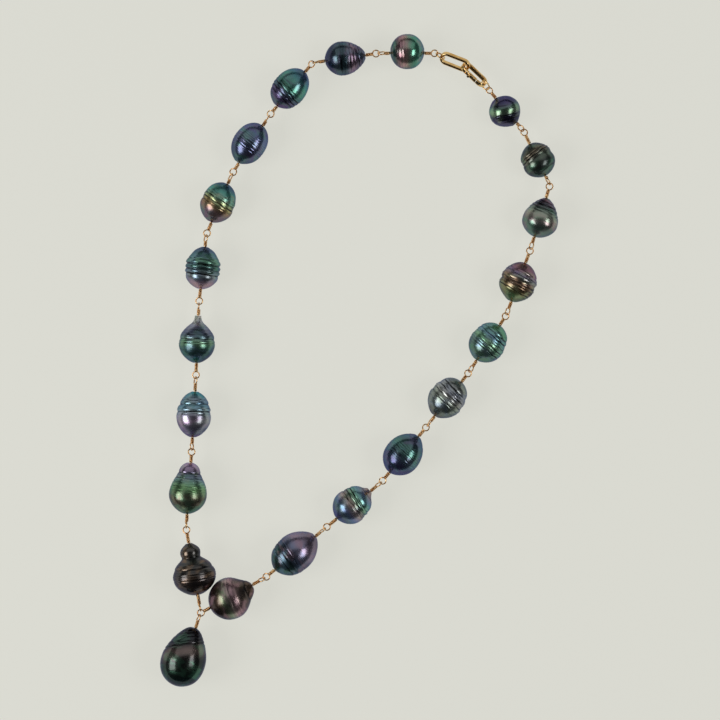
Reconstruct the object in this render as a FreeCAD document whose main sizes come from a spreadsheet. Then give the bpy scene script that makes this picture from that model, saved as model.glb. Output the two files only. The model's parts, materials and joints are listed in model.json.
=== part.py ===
"""Pearl necklace: circled baroque pearls on wrapped wire links, a drop pearl and a two-link clasp.

The necklace lies flat, closed, in a long loop.  +Y runs from the drop pearl towards the clasp, +Z is up and
the origin is the middle of the footprint, on the surface that the pearls rest on.  All sizes are in mm.
"""
import FreeCAD, Part
import math
import os

Vector = FreeCAD.Vector
doc = FreeCAD.newDocument("PearlNecklace")
sheet = doc.addObject("Spreadsheet::Sheet", "Sizes")

# ---------------------------------------------------------------- driving sizes
SIZES = {
    "wire_dia": 0.40,         # wire of the eyes and coils
    "core_dia": 0.36,         # the same wire, drawn straight through the pearl
    "eye_radius": 1.05,       # centre line of a wrapped eye
    "coil_radius": 0.37,      # centre line of the wrap round the core
    "flat_reach": 0.55,       # hinge point to the middle of an eye that lies flat
    "upright_reach": 1.05,    # hinge point to the middle of an eye that stands on edge
    "drill_dia": 0.60,
    "mouth_radius": 1.00,     # flat ground at each end of a pearl, round the drill hole
    "seat_gap": 0.02,         # last turn of a coil to the pearl
    "jump_radius": 1.52,
    "jump_wire": 0.45,
    "clasp_length": 10.0,     # outside of a clasp link
    "clasp_width": 4.4,
    "rail_depth": 0.9,        # radial thickness of the band
    "rail_height": 1.5,
    "rail_edge": 0.3,         # rounding along the edges of the band
    "pin_dia": 0.46,
    "pin_hole_dia": 0.50,
    "pin_length": 1.44,
    "stud_dia": 0.9,
    "stud_length": 0.8,
    "spring_wire": 0.12,
    "spring_radius": 0.34,
}
# Stations of the gate along the gate link, from the link's middle towards its jump ring.
GATE_TIP = -1.9
GATE_SHOULDER = 1.30
GATE_STUD = 0.85
GATE_PIN = 1.95
GATE_FIT = 0.12            # gap at the tip and at the shoulder
TONGUE_HALF = 0.40         # half width of the tongue round its pin
TONGUE_FLOOR = -0.42       # the tongue lies low in its slot, under the spring
TONGUE_TOP = 0.10
SLOT_HALF = 0.48
SLOT_END = 2.50

# Points that the eyes turn about: x, y and height above the table.
HINGES = {
    "clasp_a": (26, 96, 5.3), "jump_a": (24.3, 97, 5.5),
    "l1": (5.8, 97, 5.4), "l2": (-14.8, 94, 5.3), "l3": (-28.4, 77.4, 5.3),
    "l4": (-40.2, 59, 5.3), "l5": (-48.4, 39.6, 5.4), "l6": (-50.7, 18.1, 5.6),
    "l7": (-51.7, -5.3, 5.6), "l8": (-53, -28.5, 5.7), "l9": (-54.7, -53.1, 6.4),
    "l10": (-50.1, -79.25, 6.7), "drop": (-50.3, -80.3, 6.7), "meeting": (-50.5, -80.05, 6.7),
    "r9": (-29.8, -68.8, 6.4), "r8": (-10.7, -53.1, 5.8), "r7": (7, -38.6, 5.7),
    "r6": (21.4, -20.9, 5.8), "r5": (34.7, -3.8, 5.7), "r4": (46.5, 14.3, 5.8),
    "r3": (54.1, 35, 5.8), "r2": (60.3, 55.4, 5.4), "r1": (51.9, 72.5, 5.1),
    "jump_b": (40.8, 85.7, 5.1), "clasp_b": (39.6, 87.2, 5.3), "drop_tip": (-57.5, -102.9, 7.0),
}
UPRIGHT_FROM = 45          # an eye rolled this far or more from flat counts as standing on edge

# Each link runs from its clasp-side hinge to the next one.  lead is the distance to the pearl's first end,
# side is how far the pearl sits off the drilled axis, and roll is the turn of each eye about that axis.
# An outline is a list of (station, radius), both in per cent of the pearl's length and half width.
# name: start, end, start roll, end roll, length, width, lead, side, outline
LINKS = {
    "left_01": ("jump_a", "l1", -25, 60, 10.7, 11.1, 3.8, -0.5,
                [(3, 36), (10, 61), (22, 84), (36, 97), (50, 100), (64, 97), (78, 84), (90, 61), (97, 36)]),
    "left_02": ("l1", "l2", -5, 75, 12.8, 10.7, 4.0, 0.0,
                [(3, 32), (10, 52), (18, 67), (25, 78), (34, 89), (46, 97), (58, 100), (71, 95), (83, 79),
                 (92, 57), (98, 32)]),
    "left_03": ("l2", "l3", -35, 0, 13.9, 10.7, 3.8, -0.4,
                [(3, 36), (10, 60), (22, 82), (36, 95), (52, 100), (64, 98), (73, 91), (81, 83), (90, 64),
                 (97, 36)]),
    "left_04": ("l3", "l4", 85, 5, 13.9, 10.7, 4.0, -0.5,
                [(3, 38), (10, 62), (22, 84), (36, 96), (50, 100), (64, 96), (78, 83), (90, 59), (97, 34)]),
    "left_05": ("l4", "l5", 65, -5, 13.0, 10.7, 3.7, -0.5,
                [(3, 38), (10, 62), (22, 84), (34, 95), (45, 99), (51, 97), (58, 100), (70, 96), (82, 80),
                 (92, 56), (98, 31)]),
    "left_06": ("l5", "l6", 60, 0, 13.3, 11.1, 3.9, 0.0,
                [(3, 32), (10, 56), (18, 71), (26, 84), (33, 94), (39, 99), (43, 95), (49, 100), (54, 96),
                 (60, 99), (66, 93), (74, 91), (84, 77), (92, 57), (98, 31)]),
    "left_07": ("l6", "l7", 85, 5, 14.9, 11.4, 4.1, -0.1,
                [(4, 19), (10, 23), (15, 32), (21, 50), (28, 68), (36, 84), (43, 93), (48, 94), (55, 98),
                 (63, 100), (72, 95), (81, 84), (90, 63), (97, 37)]),
    "left_08": ("l7", "l8", 65, 60, 14.4, 10.9, 4.7, 0.0,
                [(3, 33), (9, 55), (16, 71), (23, 81), (28, 84), (34, 92), (39, 97), (44, 95), (51, 99),
                 (59, 100), (68, 96), (78, 85), (88, 65), (96, 39)]),
    "left_09": ("l8", "l9", -5, 80, 16.1, 12.0, 4.0, -0.2,
                [(3, 32), (8, 46), (14, 54), (19, 58), (25, 65), (33, 77), (42, 88), (52, 96), (62, 100),
                 (72, 97), (82, 84), (91, 62), (97, 38)]),
    "left_10": ("l9", "l10", 0, 80, 16.4, 13.6, 4.9, 0.0,
                [(3, 24), (8, 38), (15, 47), (22, 46), (27, 44), (31, 52), (37, 70), (44, 84), (49, 89),
                 (56, 98), (66, 100), (76, 94), (86, 77), (93, 56), (98, 33)]),
    "right_01": ("jump_b", "r1", -25, 55, 10.1, 10.1, 3.8, -0.5,
                 [(3, 35), (10, 59), (20, 80), (32, 93), (45, 100), (55, 99), (64, 94), (74, 83), (84, 66),
                  (92, 46), (97, 30)]),
    "right_02": ("r1", "r2", -12, 80, 11.1, 10.4, 4.7, 0.0,
                 [(3, 37), (10, 60), (20, 81), (30, 93), (37, 95), (43, 94), (52, 98), (62, 100), (74, 93),
                  (85, 76), (93, 54), (98, 32)]),
    "right_03": ("r2", "r3", 8, 60, 12.6, 11.4, 4.5, 0.3,
                 [(3, 27), (8, 42), (14, 55), (20, 66), (26, 75), (33, 83), (41, 92), (50, 98), (60, 100),
                  (72, 96), (83, 81), (92, 58), (98, 32)]),
    "right_04": ("r3", "r4", -2, 58, 12.8, 11.7, 4.7, -0.1,
                 [(3, 36), (9, 56), (18, 75), (26, 87), (31, 90), (37, 97), (44, 99), (50, 94), (57, 98),
                  (65, 97), (72, 91), (78, 83), (86, 67), (93, 47), (98, 29)]),
    "right_05": ("r4", "r5", -8, 60, 13.1, 11.4, 4.0, -0.1,
                 [(3, 38), (10, 63), (19, 80), (26, 86), (33, 92), (39, 93), (47, 99), (56, 100), (66, 97),
                  (78, 86), (88, 67), (96, 40)]),
    "right_06": ("r5", "r6", -3, 80, 13.6, 11.4, 4.0, -0.4,
                 [(3, 40), (10, 64), (19, 80), (27, 86), (34, 94), (42, 98), (48, 96), (56, 100), (64, 98),
                  (70, 93), (80, 81), (90, 59), (97, 36)]),
    "right_07": ("r6", "r7", 15, 0, 14.5, 11.7, 4.3, -0.2,
                 [(3, 31), (9, 50), (18, 71), (30, 88), (42, 97), (54, 100), (66, 97), (78, 86), (89, 64),
                  (97, 36)]),
    "right_08": ("r7", "r8", 70, 0, 13.6, 11.1, 4.6, -0.3,
                 [(3, 25), (7, 35), (12, 54), (20, 74), (28, 85), (35, 89), (40, 94), (45, 93), (52, 98),
                  (61, 100), (72, 95), (83, 80), (92, 58), (98, 32)]),
    "right_09": ("r8", "r9", 78, 0, 16.4, 12.3, 4.2, -0.1,
                 [(3, 31), (9, 51), (18, 71), (30, 89), (42, 98), (51, 100), (59, 98), (66, 96), (72, 91),
                  (81, 82), (90, 62), (97, 36)]),
    "right_10": ("r9", "meeting", 68, -5, 14.9, 13.3, 4.7, 0.4,
                 [(3, 28), (9, 42), (14, 51), (20, 63), (28, 79), (38, 93), (50, 100), (62, 99), (74, 90),
                  (85, 74), (93, 54), (98, 32)]),
    "drop": ("drop", "drop_tip", 70, None, 19.0, 14.2, 4.6, -0.5,
             [(3, 30), (8, 44), (14, 56), (20, 66), (26, 75), (31, 81), (39, 90), (48, 97), (58, 100),
              (68, 98), (78, 90), (87, 76), (94, 55), (98, 34)]),
}
DROP_PEG_DEPTH = 5.0       # glued peg inside the drop pearl
DROP_HOLE_DEPTH = 5.4


def fill_sheet():
    """Write every driving size into the spreadsheet, one alias to a row."""
    cells = dict(SIZES)
    for name, link in LINKS.items():
        start, end = HINGES[link[0]], HINGES[link[1]]
        cells[name + "_length"] = link[4]
        cells[name + "_width"] = link[5]
        cells[name + "_lead"] = link[6]
        cells[name + "_side"] = link[7]
        cells[name + "_span"] = round(math.dist(start, end), 4)
    for row, (alias, value) in enumerate(cells.items(), start=1):
        sheet.set("A%d" % row, alias)
        sheet.set("B%d" % row, str(value))
        sheet.setAlias("B%d" % row, alias)
    doc.recompute()


def axis_placement(start, end, roll=0.0):
    """Placement whose local +X runs from start to end, rolled about that line."""
    dx, dy, dz = (b - a for a, b in zip(start, end))
    heading = FreeCAD.Rotation(Vector(0, 0, 1), math.degrees(math.atan2(dy, dx)))
    climb = FreeCAD.Rotation(Vector(0, 1, 0), -math.degrees(math.atan2(dz, math.hypot(dx, dy))))
    turn = FreeCAD.Rotation(Vector(1, 0, 0), roll)
    return FreeCAD.Placement(Vector(*start), heading * climb * turn)


def add(kind, name, bindings, base=(0, 0, 0), rotation=None):
    """Add one Part primitive, bind its sizes to the sheet and place it."""
    obj = doc.addObject(kind, name)
    obj.Placement = FreeCAD.Placement(Vector(*base), rotation or FreeCAD.Rotation())
    for prop, expression in bindings.items():
        obj.setExpression(prop, expression)
    return obj


ALONG_X = FreeCAD.Rotation(Vector(0, 1, 0), 90)


def fuse(name, pieces):
    """Fuse overlapping primitives into one solid."""
    joined = doc.addObject("Part::MultiFuse", name)
    joined.Shapes = pieces
    return joined


def cut(name, base, tool):
    """Take the tool away from the base."""
    result = doc.addObject("Part::Cut", name)
    result.Base = base
    result.Tool = tool
    return result


def finish(obj, label, placement):
    """Name a finished sub-part and put it in its place."""
    obj.Label = label
    obj.Placement = placement
    return obj


# ---------------------------------------------------------------- pearls
def pearl_outline(name):
    """Half outline of a pearl as a flat face: a spline between two ground ends, closed along the axis."""
    length = sheet.get(name + "_length")
    half_width = sheet.get(name + "_width") / 2
    mouth = sheet.get("mouth_radius")
    ends = [Vector(0, mouth, 0), Vector(length, mouth, 0)]
    points = [Vector(length * station / 100, half_width * radius / 100, 0) for station, radius in LINKS[name][8]]
    curve = Part.BSplineCurve()
    curve.interpolate(Points=[ends[0]] + points + [ends[1]])
    corners = [ends[1], Vector(length, 0, 0), Vector(0, 0, 0), ends[0]]
    sides = [Part.LineSegment(one, two).toShape() for one, two in zip(corners, corners[1:])]
    outline = doc.addObject("Part::Feature", name + "_outline")
    outline.Shape = Part.Face(Part.Wire([curve.toShape()] + sides))
    return outline


def make_pearl(name):
    """A baroque pearl, turned from its half outline and drilled a little off its own axis."""
    start, end, length, width, lead, outline = (LINKS[name][i] for i in (0, 1, 4, 5, 6, 8))
    low, high = HINGES[start], HINGES[end]
    widest = max(outline, key=lambda point: point[1])[0] / 100
    share = (lead + widest * length) / math.dist(low, high)
    axis_height = low[2] + (high[2] - low[2]) * share
    skin = add("Part::Revolution", name + "_skin", {
        "Placement.Base.x": "Sizes.%s_lead" % name,
        "Placement.Base.y": "Sizes.%s_side" % name,
    }, (0, 0, width / 2 - axis_height))
    skin.Source = pearl_outline(name)
    skin.Axis = Vector(1, 0, 0)
    skin.Angle = 360
    skin.Solid = True
    hole = "%g" % (DROP_HOLE_DEPTH + 1) if name == "drop" else "Sizes.%s_length + 2" % name
    drill = add("Part::Cylinder", name + "_drill", {
        "Radius": "Sizes.drill_dia / 2",
        "Height": hole,
        "Placement.Base.x": "Sizes.%s_lead - 1" % name,
    }, (0, 0, 0), ALONG_X)
    label = "drop_pearl" if name == "drop" else name.replace("_", "_pearl_")
    return finish(cut(name + "_pearl", skin, drill), label, axis_placement(low, high))


# ---------------------------------------------------------------- wires
def eye_reach(roll):
    """Sheet alias of the distance from a hinge point to the middle of its eye."""
    return "upright_reach" if abs(roll) >= UPRIGHT_FROM else "flat_reach"


def make_eye(name, position, roll):
    """A round eye whose plane holds the wire's axis, rolled about it, with its seam off to one side."""
    turn = FreeCAD.Rotation(Vector(1, 0, 0), roll) * FreeCAD.Rotation(Vector(0, 0, 1), 90)
    return add("Part::Torus", name, {
        "Radius1": "Sizes.eye_radius",
        "Radius2": "Sizes.wire_dia / 2",
        "Placement.Base.x": position,
    }, (0, 0, 0), turn)


def make_coil(name, first, last):
    """Turns of wire wrapped round the core between two stations, as rings that bite into each other."""
    wire = SIZES["wire_dia"]
    turns = max(3, math.ceil((last - first - wire) / (0.92 * wire)) + 1)
    pitch = (last - first - wire) / (turns - 1)
    return [add("Part::Torus", "%s_turn_%d" % (name, turn), {
        "Radius1": "Sizes.coil_radius",
        "Radius2": "Sizes.wire_dia / 2",
    }, (first + wire / 2 + pitch * turn, 0, 0), ALONG_X) for turn in range(turns)]


def make_wire(name):
    """The wire of one link: eye, coil, core through the pearl, coil and eye."""
    start, end, start_roll, end_roll, length, _, lead = LINKS[name][:7]
    low, high = HINGES[start], HINGES[end]
    span = math.dist(low, high)
    eye, half = SIZES["eye_radius"], SIZES["wire_dia"] / 2
    gap = SIZES["seat_gap"]
    start_reach = eye_reach(start_roll)
    pieces = [make_eye(name + "_start_eye", "Sizes." + start_reach, start_roll)]
    pieces += make_coil(name + "_start", SIZES[start_reach] + eye + half + gap, lead - gap)
    core = {"Radius": "Sizes.core_dia / 2", "Placement.Base.x": "Sizes.%s + Sizes.eye_radius" % start_reach}
    if end_roll is None:
        core["Height"] = "Sizes.%s_lead + %g - Sizes.%s - Sizes.eye_radius" % (name, DROP_PEG_DEPTH, start_reach)
        label = "drop_wire"
    else:
        end_reach = eye_reach(end_roll)
        pieces.append(make_eye(name + "_end_eye", "Sizes.%s_span - Sizes.%s" % (name, end_reach), end_roll))
        pieces += make_coil(name + "_end", lead + length + gap, span - SIZES[end_reach] - eye - half - gap)
        core["Height"] = "Sizes.%s_span - Sizes.%s - Sizes.%s - 2 * Sizes.eye_radius" % (
            name, start_reach, end_reach)
        label = name.replace("_", "_wire_")
    pieces.insert(0, add("Part::Cylinder", name + "_core", core, (0, 0, 0), ALONG_X))
    return finish(fuse(name + "_wire", pieces), label, axis_placement(low, high))


# ---------------------------------------------------------------- jump rings
JUMP_ROLL = -60


def make_jump_ring(label, eye_hinge, clasp_hinge):
    """A plain ring that joins the strand's last eye to the end of a clasp link."""
    ring = add("Part::Torus", label, {
        "Radius1": "Sizes.jump_radius",
        "Radius2": "Sizes.jump_wire / 2",
    })
    frame = axis_placement(HINGES[eye_hinge], HINGES[clasp_hinge], JUMP_ROLL)
    middle = frame.multVec(Vector(SIZES["jump_radius"], 0, 0))
    return finish(ring, label, FreeCAD.Placement(middle, frame.Rotation))


# ---------------------------------------------------------------- clasp
# heading in plan, climb and roll of the receiver link and the gate link, in degrees
CLASP_TURNS = {"a": (-21.5, 1.4, 45.0), "b": (136.5, -1.0, 45.0)}


def clasp_placement(side):
    """Placement of a clasp link's middle, with its end bar centred on its jump ring's hinge point."""
    heading, climb, roll = CLASP_TURNS[side]
    turn = FreeCAD.Rotation(Vector(0, 0, 1), heading)
    turn = turn * FreeCAD.Rotation(Vector(0, 1, 0), -climb) * FreeCAD.Rotation(Vector(1, 0, 0), roll)
    arm = (SIZES["clasp_length"] - SIZES["rail_depth"]) / 2
    middle = Vector(*HINGES["clasp_" + side]) + turn.multVec(Vector(arm, 0, 0))
    return FreeCAD.Placement(middle, turn)


def oblong(name, trim, height):
    """A flat-sided oblong with round ends, smaller all round by the trim expression."""
    width = "(Sizes.clasp_width - 2 * (%s))" % trim
    half_straight = "(Sizes.clasp_length - Sizes.clasp_width) / 2"
    block = add("Part::Box", name + "_block", {
        "Length": "Sizes.clasp_length - Sizes.clasp_width",
        "Width": width,
        "Height": height,
        "Placement.Base.x": "-" + half_straight,
        "Placement.Base.y": "-%s / 2" % width,
        "Placement.Base.z": "-(%s) / 2" % height,
    })
    ends = [add("Part::Cylinder", "%s_end_%d" % (name, number), {
        "Radius": width + " / 2",
        "Height": height,
        "Placement.Base.x": sign + half_straight,
        "Placement.Base.z": "-(%s) / 2" % height,
    }) for number, sign in enumerate(("-", ""), start=1)]
    solid = fuse(name, [block] + ends)
    solid.Refine = True
    return solid


def make_band(name):
    """The closed band of a clasp link, rounded along its four rims."""
    ring = cut(name + "_ring", oblong(name + "_outside", "0", "Sizes.rail_height"),
               oblong(name + "_window", "Sizes.rail_depth", "Sizes.rail_height + 1"))
    doc.recompute()
    band = doc.addObject("Part::Fillet", name + "_band")
    band.Base = ring
    edge = SIZES["rail_edge"]
    band.Edges = [(number, edge, edge) for number, rim in enumerate(ring.Shape.Edges, start=1)
                  if rim.BoundBox.ZLength < 1e-6]
    return band


def rail_box(name, low_x, high_x, low_z, high_z):
    """A box across the gate's rail of the gate link, between two stations and two heights."""
    box = add("Part::Box", name, {
        "Width": "Sizes.rail_depth + 1.2",
        "Placement.Base.y": "Sizes.clasp_width / 2 - Sizes.rail_depth - 0.6",
    }, (low_x, 0, low_z))
    box.Length = high_x - low_x
    box.Height = high_z - low_z
    return box


def pin_cylinder(name, radius, height):
    """A cylinder on the gate's pin axis, centred on the rail."""
    return add("Part::Cylinder", name, {
        "Radius": radius,
        "Height": height,
        "Placement.Base.y": "Sizes.clasp_width / 2 - Sizes.rail_depth / 2",
        "Placement.Base.z": "-(%s) / 2" % height,
    }, (GATE_PIN, 0, 0))


def make_gate_frame():
    """The gate link without its gate: a gap in one rail, a slot for the tongue and the pin's hole."""
    tall = SIZES["rail_height"]
    openings = fuse("gate_frame_openings", [
        rail_box("gate_gap", GATE_TIP - GATE_FIT, GATE_SHOULDER + GATE_FIT, -tall, tall),
        rail_box("tongue_slot", GATE_SHOULDER, SLOT_END, -SLOT_HALF, SLOT_HALF),
        pin_cylinder("frame_pin_hole", "Sizes.pin_hole_dia / 2", "Sizes.rail_height + 1"),
    ])
    return cut("gate_frame_cut", make_band("gate_link"), openings)


def make_gate():
    """The gate: a length of the same rail with a flat tongue round the pin and a thumb stud outside."""
    tall = SIZES["rail_height"]
    rail = doc.addObject("Part::Common", "gate_rail")
    rail.Base = make_band("gate_stock")
    rail.Tool = rail_box("gate_length", GATE_TIP, GATE_SHOULDER, -tall, tall)
    tongue = add("Part::Box", "gate_tongue", {
        "Placement.Base.y": "Sizes.clasp_width / 2 - Sizes.rail_depth / 2 - %g" % TONGUE_HALF,
    }, (GATE_SHOULDER - 0.2, 0, TONGUE_FLOOR))
    tongue.Length = GATE_PIN - GATE_SHOULDER + 0.2
    tongue.Width = 2 * TONGUE_HALF
    tongue.Height = TONGUE_TOP - TONGUE_FLOOR
    eye = add("Part::Cylinder", "gate_tongue_eye", {
        "Placement.Base.y": "Sizes.clasp_width / 2 - Sizes.rail_depth / 2",
    }, (GATE_PIN, 0, TONGUE_FLOOR))
    eye.Radius = TONGUE_HALF
    eye.Height = TONGUE_TOP - TONGUE_FLOOR
    stud = add("Part::Cylinder", "gate_stud", {
        "Radius": "Sizes.stud_dia / 2",
        "Height": "Sizes.stud_length + 0.2",
        "Placement.Base.y": "Sizes.clasp_width / 2 - 0.2",
    }, (GATE_STUD, 0, 0), FreeCAD.Rotation(Vector(1, 0, 0), -90))
    solid = fuse("gate_solid", [rail, tongue, eye, stud])
    return cut("gate_cut", solid, pin_cylinder("gate_pin_hole", "Sizes.pin_hole_dia / 2", "Sizes.rail_height + 1"))


def make_gate_spring():
    """Two turns of fine spring wire round the pin, in the slot above the tongue."""
    turns = [add("Part::Torus", "spring_turn_%d" % turn, {
        "Radius1": "Sizes.spring_radius",
        "Radius2": "Sizes.spring_wire / 2",
        "Placement.Base.y": "Sizes.clasp_width / 2 - Sizes.rail_depth / 2",
        "Placement.Base.z": "%g + Sizes.spring_wire * (0.7 + %g)" % (TONGUE_TOP, 0.9 * turn),
    }, (GATE_PIN, 0, 0)) for turn in range(2)]
    return fuse("spring_turns", turns)


# ---------------------------------------------------------------- assembly
fill_sheet()
subparts = []
for link_name in LINKS:
    subparts.append(make_pearl(link_name))
    subparts.append(make_wire(link_name))
subparts.append(make_jump_ring("jump_ring_receiver", "jump_a", "clasp_a"))
subparts.append(make_jump_ring("jump_ring_gate", "jump_b", "clasp_b"))
subparts.append(finish(make_band("receiver_link"), "clasp_receiver_link", clasp_placement("a")))
gate_place = clasp_placement("b")
subparts.append(finish(make_gate_frame(), "clasp_gate_link", gate_place))
subparts.append(finish(make_gate(), "clasp_gate", gate_place))
subparts.append(finish(make_gate_spring(), "gate_spring", gate_place))
pin = pin_cylinder("pin", "Sizes.pin_dia / 2", "Sizes.pin_length")
doc.recompute()
pin_local = FreeCAD.Placement(Vector(GATE_PIN, pin.Placement.Base.y, pin.Placement.Base.z), FreeCAD.Rotation())
for prop in ("Placement.Base.y", "Placement.Base.z"):
    pin.setExpression(prop, None)
finish(pin, "gate_pin", gate_place * pin_local)
subparts.append(pin)
doc.recompute()

for obj in doc.Objects:
    if "Invalid" in obj.State or "Error" in obj.State:
        raise RuntimeError("%s failed: %s" % (obj.Name, obj.State))
for obj in subparts:
    if obj.Shape.isNull() or not obj.Shape.isValid() or len(obj.Shape.Solids) != 1:
        raise RuntimeError("%s has no single valid solid" % obj.Label)

os.makedirs("parts", exist_ok=True)
for obj in subparts:
    obj.Shape.exportStep("parts/%s.step" % obj.Label)
    print("%-22s %8.2f mm3  z %.2f to %.2f" % (obj.Label, obj.Shape.Volume, obj.Shape.BoundBox.ZMin,
                                             obj.Shape.BoundBox.ZMax))
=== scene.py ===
"""Looks of a wire-linked necklace of dark baroque pearls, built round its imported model."""

import json
import logging
import math
import random
from dataclasses import dataclass, field
from enum import Enum

import bpy
import bmesh
import numpy as np
from bpy.types import Material, Mesh, Node, NodeSocket, NodeTree, Object
from mathutils import Matrix, Vector

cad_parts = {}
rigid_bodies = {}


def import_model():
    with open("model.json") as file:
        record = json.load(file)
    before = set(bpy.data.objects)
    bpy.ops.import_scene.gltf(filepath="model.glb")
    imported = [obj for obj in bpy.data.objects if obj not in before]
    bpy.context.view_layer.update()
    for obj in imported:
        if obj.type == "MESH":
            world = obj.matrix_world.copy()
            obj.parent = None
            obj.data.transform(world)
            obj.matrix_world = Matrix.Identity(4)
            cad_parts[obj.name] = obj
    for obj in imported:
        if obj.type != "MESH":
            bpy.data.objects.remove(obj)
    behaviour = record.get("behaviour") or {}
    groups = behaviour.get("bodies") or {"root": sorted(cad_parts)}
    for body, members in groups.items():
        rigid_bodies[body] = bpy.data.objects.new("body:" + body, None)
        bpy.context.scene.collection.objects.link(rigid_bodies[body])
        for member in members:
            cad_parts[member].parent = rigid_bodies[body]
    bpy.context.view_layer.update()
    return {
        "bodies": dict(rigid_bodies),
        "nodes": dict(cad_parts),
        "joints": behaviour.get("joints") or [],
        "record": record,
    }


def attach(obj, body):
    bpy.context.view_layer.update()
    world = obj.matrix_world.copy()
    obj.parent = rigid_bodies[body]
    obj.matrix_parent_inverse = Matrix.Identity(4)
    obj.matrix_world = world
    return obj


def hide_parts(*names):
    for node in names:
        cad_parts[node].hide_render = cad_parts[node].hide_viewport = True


LOG = logging.getLogger("necklace")
MM = 0.001
SMOOTH = {"interpolation_type": "SMOOTHSTEP"}
MULTIPLY, MULTIPLY_ADD = {"operation": "MULTIPLY"}, {"operation": "MULTIPLY_ADD"}


class Overtone(Enum):
    """Sheen colours that lie in patches over a dark nacre's body colour."""

    PEACOCK = "#5e9c7c"
    TEAL = "#568894"
    STEEL_BLUE = "#7084aa"
    AUBERGINE = "#6e5884"
    ROSE = "#ac8290"
    BRONZE = "#a28262"
    PISTACHIO = "#a2b890"
    CHARCOAL = "#2c2c30"
    SILVER = "#bcc2c0"


class Lustre(Enum):
    """How sharp a pearl's reflections are, as the roughness of its layers and of its clear skin."""

    MIRROR = (0.22, 0.05)
    BRIGHT = (0.27, 0.07)


class EyeStance(Enum):
    """How far an eye's middle lies from the point it turns about, in mm."""

    FLAT = 0.55
    UPRIGHT = 1.05

    @classmethod
    def of(cls, roll: float) -> "EyeStance":
        """The stance of an eye that is rolled by so many degrees: it stands up from 45 on."""
        return cls.UPRIGHT if abs(roll) >= 45 else cls.FLAT


def linear(colour: str) -> tuple[float, float, float, float]:
    """Turns an sRGB hex colour to linear light.

    Args:
        colour: Six hex digits, with or without a leading hash.

    Returns:
        Red, green, blue and an alpha of one.
    """
    digits = colour.lstrip("#")
    parts = [int(digits[i:i + 2], 16) / 255 for i in (0, 2, 4)]
    return (*(p / 12.92 if p <= 0.04045 else ((p + 0.055) / 1.055) ** 2.4 for p in parts), 1.0)


def add_node(tree: NodeTree, kind: str, settings: dict | None = None, inputs: dict | None = None,
             stops: list[tuple[float, str]] | None = None) -> Node:
    """Adds a node with its settings, values and links.

    Args:
        tree: The node tree that gets the node.
        kind: The node's type name.
        settings: Properties of the node.
        inputs: A value or an output socket for each named or numbered input.
        stops: Places and hex colours, for a node with a colour ramp.

    Returns:
        The new node.
    """
    node = tree.nodes.new(kind)
    for key, value in (settings or {}).items():
        setattr(node, key, value)
    for key, value in (inputs or {}).items():
        if isinstance(value, NodeSocket):
            tree.links.new(value, node.inputs[key])
        else:
            node.inputs[key].default_value = value
    if stops:
        ramp = node.color_ramp
        while len(ramp.elements) < len(stops):
            ramp.elements.new(0.5)
        for element, (place, colour) in zip(ramp.elements, stops):
            element.position, element.color = place, linear(colour)
    return node


def smoothstep(values: np.ndarray, low: float, high: float) -> np.ndarray:
    """An even rise from 0 at low to 1 at high."""
    t = np.clip((values - low) / (high - low), 0, 1)
    return t * t * (3 - 2 * t)


def node_points(node: Object) -> np.ndarray:
    """A CAD node's vertices as rows, in metres."""
    points = np.zeros(len(node.data.vertices) * 3, np.float32)
    node.data.vertices.foreach_get("co", points)
    return points.reshape(-1, 3).astype(float)


def moved(matrix: Matrix, points: np.ndarray) -> np.ndarray:
    """Rows of points taken through a matrix."""
    m = np.array(matrix, float)
    return points @ m[:3, :3].T + m[:3, 3]


def new_piece(name: str, mesh: Mesh) -> Object:
    """Puts a mesh in the scene as a piece at the origin."""
    piece = bpy.data.objects.new(name, mesh)
    bpy.context.scene.collection.objects.link(piece)
    return piece


def new_material(name: str) -> tuple[Material, NodeTree]:
    """An empty material and its node tree."""
    made = bpy.data.materials.new(name)
    made.use_nodes = True
    made.node_tree.nodes.clear()
    return made, made.node_tree


def settle(piece: Object, body: str, node_name: str) -> Object:
    """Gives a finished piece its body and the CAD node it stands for."""
    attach(piece, body)
    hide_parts(node_name)
    return piece


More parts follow.
